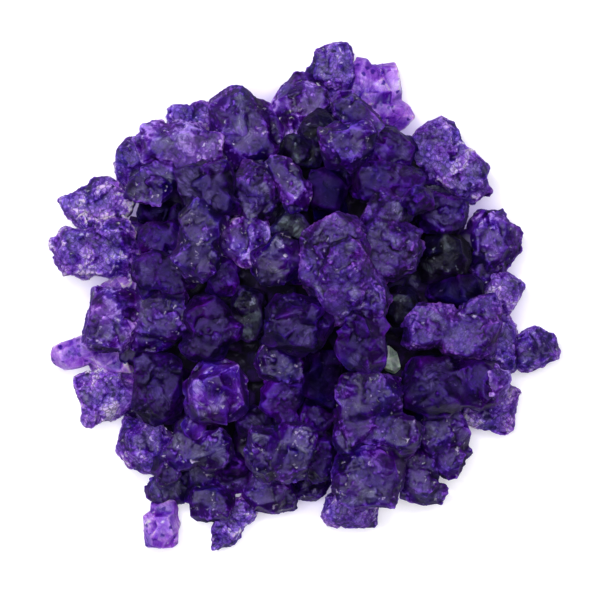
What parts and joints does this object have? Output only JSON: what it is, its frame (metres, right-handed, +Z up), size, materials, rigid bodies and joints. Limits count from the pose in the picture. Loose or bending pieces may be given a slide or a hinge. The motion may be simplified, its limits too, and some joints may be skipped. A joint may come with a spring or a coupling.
{
  "type": "rock candy",
  "caption": "Loose heap of purple rock sugar lumps, clusters of boxy translucent crystals with a frosted crust, as it lies on a flat surface.",
  "frame": {"origin": "on the surface that the heap lies on, under the middle of the heap's outline", "axes": "+Z up, +X to the right and +Y away from someone who looks down on the heap as in the picture"},
  "size_m": [0.1026, 0.1016, 0.0258],
  "materials": {
    "violet_sugar": "translucent boiled sugar with a frosted, uneven crystal crust"
  },
  "bodies": {
    "root": {"candy_heap": "violet_sugar"}
  },
  "joints": []
}
